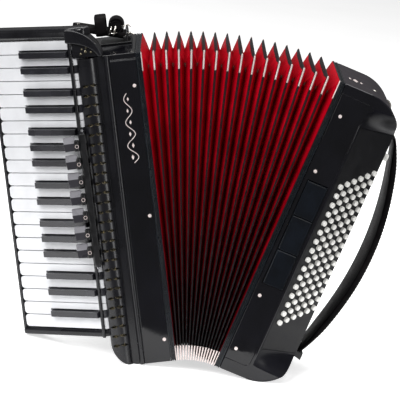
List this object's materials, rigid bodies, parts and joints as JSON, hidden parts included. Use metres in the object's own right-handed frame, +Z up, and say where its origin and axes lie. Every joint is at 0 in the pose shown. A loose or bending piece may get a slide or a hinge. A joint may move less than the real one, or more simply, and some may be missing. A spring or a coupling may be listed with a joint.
{
  "type": "piano accordion",
  "caption": "Piano accordion standing with its bellows fanned open: treble case with piano keys and rocker tabs, pleated bellows, and bass case with slanted button board and hand strap.",
  "frame": {"origin": "centre of the bounding box on the ground that both halves stand on", "axes": "+Z up, the front of the instrument (keys, grille and registers) faces -Y, the bass side is towards +X"},
  "size_m": [0.622, 0.201, 0.4927],
  "materials": {
    "case_lacquer": "deep gloss black celluloid lacquer",
    "cover_lacquer": "deep gloss black lacquer with cut vents",
    "keyboard_black": "gloss black moulded frame",
    "white_keys": "polished white key tops",
    "black_keys": "satin black key sticks with worn gloss tops",
    "steel": "drawn bright steel",
    "black_steel": "black painted steel",
    "tabs": "grey pearl plastic",
    "pine": "planed softwood",
    "maple": "planed hardwood reed blocks",
    "red_leaves": "red bellows cloth with a satin face",
    "bellows_tape": "black bellows tape over card",
    "board_black": "satin black board",
    "buttons": "polished white button plastic",
    "switches": "gloss black switch plates",
    "leather": "black grained leather"
  },
  "bodies": {
    "treble": {"treble_case": "case_lacquer", "treble_cover": "cover_lacquer", "keyboard_frame": "keyboard_black", "key_rod": "steel", "treble_soundboard": "pine", "treble_reed_block": "maple", "strap_bracket": "black_steel", "shoulder_strap": "leather", "bellows_frame_treble": "bellows_tape", "bellows_leaves_treble": "red_leaves"},
    "bellows_middle": {"bellows_rib": "bellows_tape", "bellows_leaves_bass": "red_leaves"},
    "bass": {"bellows_frame_bass": "bellows_tape", "bass_case": "case_lacquer", "bass_board": "board_black", "bass_reed_block": "maple", "strap_anchor": "black_steel", "bass_strap": "leather"},
    "treble_registers": {"treble_registers": "tabs"},
    "bass_buttons": {"bass_buttons": "buttons"},
    "bass_registers": {"bass_registers": "switches"},
    "air_button": {"air_button": "buttons"},
    "strap_wheel": {"strap_wheel": "steel"},
    "white_key_01": {"white_key_01": "white_keys"},
    "white_key_02": {"white_key_02": "white_keys"},
    "white_key_03": {"white_key_03": "white_keys"},
    "white_key_04": {"white_key_04": "white_keys"},
    "white_key_05": {"white_key_05": "white_keys"},
    "white_key_06": {"white_key_06": "white_keys"},
    "white_key_07": {"white_key_07": "white_keys"},
    "white_key_08": {"white_key_08": "white_keys"},
    "white_key_09": {"white_key_09": "white_keys"},
    "white_key_10": {"white_key_10": "white_keys"},
    "white_key_11": {"white_key_11": "white_keys"},
    "white_key_12": {"white_key_12": "white_keys"},
    "white_key_13": {"white_key_13": "white_keys"},
    "white_key_14": {"white_key_14": "white_keys"},
    "white_key_15": {"white_key_15": "white_keys"},
    "white_key_16": {"white_key_16": "white_keys"},
    "white_key_17": {"white_key_17": "white_keys"},
    "white_key_18": {"white_key_18": "white_keys"},
    "white_key_19": {"white_key_19": "white_keys"},
    "white_key_20": {"white_key_20": "white_keys"},
    "white_key_21": {"white_key_21": "white_keys"},
    "white_key_22": {"white_key_22": "white_keys"},
    "black_key_01": {"black_key_01": "black_keys"},
    "black_key_02": {"black_key_02": "black_keys"},
    "black_key_03": {"black_key_03": "black_keys"},
    "black_key_04": {"black_key_04": "black_keys"},
    "black_key_05": {"black_key_05": "black_keys"},
    "black_key_06": {"black_key_06": "black_keys"},
    "black_key_07": {"black_key_07": "black_keys"},
    "black_key_08": {"black_key_08": "black_keys"},
    "black_key_09": {"black_key_09": "black_keys"},
    "black_key_10": {"black_key_10": "black_keys"},
    "black_key_11": {"black_key_11": "black_keys"},
    "black_key_12": {"black_key_12": "black_keys"},
    "black_key_13": {"black_key_13": "black_keys"},
    "black_key_14": {"black_key_14": "black_keys"},
    "black_key_15": {"black_key_15": "black_keys"}
  },
  "joints": [
    {"name": "bellows_fold_treble", "type": "hinge", "parent": "treble", "child": "bellows_middle", "pos_m": [0.0457, 0.0055, 0.01739], "axis": [0, 1, 0], "range_deg": [-14.2, 8], "deforming": ["bellows_leaves_treble"]},
    {"name": "bellows_fold_bass", "type": "hinge", "parent": "bellows_middle", "child": "bass", "pos_m": [0.07363, 0.0055, 0.01745], "axis": [0, 1, 0], "range_deg": [-14.2, 8], "deforming": ["bellows_leaves_bass"]},
    {"name": "treble_register_rock", "type": "hinge", "parent": "treble", "child": "treble_registers", "pos_m": [-0.12661, -0.096, 0.236], "axis": [-0.2565, 0, 0.9665], "range_deg": [-5, 5]},
    {"name": "bass_button_press", "type": "slide", "parent": "bass", "child": "bass_buttons", "axis": [-0.6951, 0.6956, 0.1815], "range_m": [0, 0.004], "stiffness_N_per_m": 350, "springref_m": -0.012},
    {"name": "bass_register_press", "type": "slide", "parent": "bass", "child": "bass_registers", "axis": [0, 1, 0], "range_m": [0, 0.002]},
    {"name": "air_button_press", "type": "slide", "parent": "bass", "child": "air_button", "axis": [-0.9676, 0, 0.2527], "range_m": [0, 0.004], "stiffness_N_per_m": 200, "springref_m": -0.006},
    {"name": "strap_wheel_turn", "type": "hinge", "parent": "bass", "child": "strap_wheel", "pos_m": [0.28361, 0.0315, 0.41332], "axis": [0, 1, 0], "continuous": true},
    {"name": "white_key_01_press", "type": "hinge", "parent": "treble", "child": "white_key_01", "pos_m": [-0.16991, -0.07391, 0.45435], "axis": [0.2565, 0, -0.9665], "range_deg": [0, 2], "stiffness_Nm_per_rad": 0.5, "springref_deg": -8.59},
    {"name": "white_key_02_press", "type": "hinge", "parent": "treble", "child": "white_key_02", "pos_m": [-0.16491, -0.07391, 0.4355], "axis": [0.2565, 0, -0.9665], "range_deg": [0, 2], "stiffness_Nm_per_rad": 0.5, "springref_deg": -8.59},
    {"name": "white_key_03_press", "type": "hinge", "parent": "treble", "child": "white_key_03", "pos_m": [-0.15991, -0.07391, 0.41665], "axis": [0.2565, 0, -0.9665], "range_deg": [0, 2], "stiffness_Nm_per_rad": 0.5, "springref_deg": -8.59},
    {"name": "white_key_04_press", "type": "hinge", "parent": "treble", "child": "white_key_04", "pos_m": [-0.15491, -0.07391, 0.39781], "axis": [0.2565, 0, -0.9665], "range_deg": [0, 2], "stiffness_Nm_per_rad": 0.5, "springref_deg": -8.59},
    {"name": "white_key_05_press", "type": "hinge", "parent": "treble", "child": "white_key_05", "pos_m": [-0.1499, -0.07391, 0.37896], "axis": [0.2565, 0, -0.9665], "range_deg": [0, 2], "stiffness_Nm_per_rad": 0.5, "springref_deg": -8.59},
    {"name": "white_key_06_press", "type": "hinge", "parent": "treble", "child": "white_key_06", "pos_m": [-0.1449, -0.07391, 0.36011], "axis": [0.2565, 0, -0.9665], "range_deg": [0, 2], "stiffness_Nm_per_rad": 0.5, "springref_deg": -8.59},
    {"name": "white_key_07_press", "type": "hinge", "parent": "treble", "child": "white_key_07", "pos_m": [-0.1399, -0.07391, 0.34126], "axis": [0.2565, 0, -0.9665], "range_deg": [0, 2], "stiffness_Nm_per_rad": 0.5, "springref_deg": -8.59},
    {"name": "white_key_08_press", "type": "hinge", "parent": "treble", "child": "white_key_08", "pos_m": [-0.1349, -0.07391, 0.32242], "axis": [0.2565, 0, -0.9665], "range_deg": [0, 2], "stiffness_Nm_per_rad": 0.5, "springref_deg": -8.59},
    {"name": "white_key_09_press", "type": "hinge", "parent": "treble", "child": "white_key_09", "pos_m": [-0.12989, -0.07391, 0.30357], "axis": [0.2565, 0, -0.9665], "range_deg": [0, 2], "stiffness_Nm_per_rad": 0.5, "springref_deg": -8.59},
    {"name": "white_key_10_press", "type": "hinge", "parent": "treble", "child": "white_key_10", "pos_m": [-0.12489, -0.07391, 0.28472], "axis": [0.2565, 0, -0.9665], "range_deg": [0, 2], "stiffness_Nm_per_rad": 0.5, "springref_deg": -8.59},
    {"name": "white_key_11_press", "type": "hinge", "parent": "treble", "child": "white_key_11", "pos_m": [-0.11989, -0.07391, 0.26588], "axis": [0.2565, 0, -0.9665], "range_deg": [0, 2], "stiffness_Nm_per_rad": 0.5, "springref_deg": -8.59},
    {"name": "white_key_12_press", "type": "hinge", "parent": "treble", "child": "white_key_12", "pos_m": [-0.11489, -0.07391, 0.24703], "axis": [0.2565, 0, -0.9665], "range_deg": [0, 2], "stiffness_Nm_per_rad": 0.5, "springref_deg": -8.59},
    {"name": "white_key_13_press", "type": "hinge", "parent": "treble", "child": "white_key_13", "pos_m": [-0.10988, -0.07391, 0.22818], "axis": [0.2565, 0, -0.9665], "range_deg": [0, 2], "stiffness_Nm_per_rad": 0.5, "springref_deg": -8.59},
    {"name": "white_key_14_press", "type": "hinge", "parent": "treble", "child": "white_key_14", "pos_m": [-0.10488, -0.07391, 0.20933], "axis": [0.2565, 0, -0.9665], "range_deg": [0, 2], "stiffness_Nm_per_rad": 0.5, "springref_deg": -8.59},
    {"name": "white_key_15_press", "type": "hinge", "parent": "treble", "child": "white_key_15", "pos_m": [-0.09988, -0.07391, 0.19049], "axis": [0.2565, 0, -0.9665], "range_deg": [0, 2], "stiffness_Nm_per_rad": 0.5, "springref_deg": -8.59},
    {"name": "white_key_16_press", "type": "hinge", "parent": "treble", "child": "white_key_16", "pos_m": [-0.09488, -0.07391, 0.17164], "axis": [0.2565, 0, -0.9665], "range_deg": [0, 2], "stiffness_Nm_per_rad": 0.5, "springref_deg": -8.59},
    {"name": "white_key_17_press", "type": "hinge", "parent": "treble", "child": "white_key_17", "pos_m": [-0.08987, -0.07391, 0.15279], "axis": [0.2565, 0, -0.9665], "range_deg": [0, 2], "stiffness_Nm_per_rad": 0.5, "springref_deg": -8.59},
    {"name": "white_key_18_press", "type": "hinge", "parent": "treble", "child": "white_key_18", "pos_m": [-0.08487, -0.07391, 0.13394], "axis": [0.2565, 0, -0.9665], "range_deg": [0, 2], "stiffness_Nm_per_rad": 0.5, "springref_deg": -8.59},
    {"name": "white_key_19_press", "type": "hinge", "parent": "treble", "child": "white_key_19", "pos_m": [-0.07987, -0.07391, 0.1151], "axis": [0.2565, 0, -0.9665], "range_deg": [0, 2], "stiffness_Nm_per_rad": 0.5, "springref_deg": -8.59},
    {"name": "white_key_20_press", "type": "hinge", "parent": "treble", "child": "white_key_20", "pos_m": [-0.07486, -0.07391, 0.09625], "axis": [0.2565, 0, -0.9665], "range_deg": [0, 2], "stiffness_Nm_per_rad": 0.5, "springref_deg": -8.59},
    {"name": "white_key_21_press", "type": "hinge", "parent": "treble", "child": "white_key_21", "pos_m": [-0.06986, -0.07391, 0.0774], "axis": [0.2565, 0, -0.9665], "range_deg": [0, 2], "stiffness_Nm_per_rad": 0.5, "springref_deg": -8.59},
    {"name": "white_key_22_press", "type": "hinge", "parent": "treble", "child": "white_key_22", "pos_m": [-0.06486, -0.07391, 0.05855], "axis": [0.2565, 0, -0.9665], "range_deg": [0, 2], "stiffness_Nm_per_rad": 0.5, "springref_deg": -8.59},
    {"name": "black_key_01_press", "type": "hinge", "parent": "treble", "child": "black_key_01", "pos_m": [-0.16741, -0.07391, 0.44493], "axis": [0.2565, 0, -0.9665], "range_deg": [0, 2], "stiffness_Nm_per_rad": 0.5, "springref_deg": -8.59},
    {"name": "black_key_02_press", "type": "hinge", "parent": "treble", "child": "black_key_02", "pos_m": [-0.16151, -0.07391, 0.42269], "axis": [0.2565, 0, -0.9665], "range_deg": [0, 2], "stiffness_Nm_per_rad": 0.5, "springref_deg": -8.59},
    {"name": "black_key_03_press", "type": "hinge", "parent": "treble", "child": "black_key_03", "pos_m": [-0.15305, -0.07391, 0.3908], "axis": [0.2565, 0, -0.9665], "range_deg": [0, 2], "stiffness_Nm_per_rad": 0.5, "springref_deg": -8.59},
    {"name": "black_key_04_press", "type": "hinge", "parent": "treble", "child": "black_key_04", "pos_m": [-0.14676, -0.07391, 0.36712], "axis": [0.2565, 0, -0.9665], "range_deg": [0, 2], "stiffness_Nm_per_rad": 0.5, "springref_deg": -8.59},
    {"name": "black_key_05_press", "type": "hinge", "parent": "treble", "child": "black_key_05", "pos_m": [-0.1383, -0.07391, 0.33522], "axis": [0.2565, 0, -0.9665], "range_deg": [0, 2], "stiffness_Nm_per_rad": 0.5, "springref_deg": -8.59},
    {"name": "black_key_06_press", "type": "hinge", "parent": "treble", "child": "black_key_06", "pos_m": [-0.1324, -0.07391, 0.31299], "axis": [0.2565, 0, -0.9665], "range_deg": [0, 2], "stiffness_Nm_per_rad": 0.5, "springref_deg": -8.59},
    {"name": "black_key_07_press", "type": "hinge", "parent": "treble", "child": "black_key_07", "pos_m": [-0.12649, -0.07391, 0.29076], "axis": [0.2565, 0, -0.9665], "range_deg": [0, 2], "stiffness_Nm_per_rad": 0.5, "springref_deg": -8.59},
    {"name": "black_key_08_press", "type": "hinge", "parent": "treble", "child": "black_key_08", "pos_m": [-0.11803, -0.07391, 0.25887], "axis": [0.2565, 0, -0.9665], "range_deg": [0, 2], "stiffness_Nm_per_rad": 0.5, "springref_deg": -8.59},
    {"name": "black_key_09_press", "type": "hinge", "parent": "treble", "child": "black_key_09", "pos_m": [-0.11174, -0.07391, 0.23519], "axis": [0.2565, 0, -0.9665], "range_deg": [0, 2], "stiffness_Nm_per_rad": 0.5, "springref_deg": -8.59},
    {"name": "black_key_10_press", "type": "hinge", "parent": "treble", "child": "black_key_10", "pos_m": [-0.10328, -0.07391, 0.20329], "axis": [0.2565, 0, -0.9665], "range_deg": [0, 2], "stiffness_Nm_per_rad": 0.5, "springref_deg": -8.59},
    {"name": "black_key_11_press", "type": "hinge", "parent": "treble", "child": "black_key_11", "pos_m": [-0.09738, -0.07391, 0.18106], "axis": [0.2565, 0, -0.9665], "range_deg": [0, 2], "stiffness_Nm_per_rad": 0.5, "springref_deg": -8.59},
    {"name": "black_key_12_press", "type": "hinge", "parent": "treble", "child": "black_key_12", "pos_m": [-0.09148, -0.07391, 0.15883], "axis": [0.2565, 0, -0.9665], "range_deg": [0, 2], "stiffness_Nm_per_rad": 0.5, "springref_deg": -8.59},
    {"name": "black_key_13_press", "type": "hinge", "parent": "treble", "child": "black_key_13", "pos_m": [-0.08301, -0.07391, 0.12694], "axis": [0.2565, 0, -0.9665], "range_deg": [0, 2], "stiffness_Nm_per_rad": 0.5, "springref_deg": -8.59},
    {"name": "black_key_14_press", "type": "hinge", "parent": "treble", "child": "black_key_14", "pos_m": [-0.07672, -0.07391, 0.10326], "axis": [0.2565, 0, -0.9665], "range_deg": [0, 2], "stiffness_Nm_per_rad": 0.5, "springref_deg": -8.59},
    {"name": "black_key_15_press", "type": "hinge", "parent": "treble", "child": "black_key_15", "pos_m": [-0.06826, -0.07391, 0.07136], "axis": [0.2565, 0, -0.9665], "range_deg": [0, 2], "stiffness_Nm_per_rad": 0.5, "springref_deg": -8.59}
  ],
  "couplings": [
    {"joint": "bellows_fold_bass", "follows": "bellows_fold_treble", "ratio": 1}
  ]
}
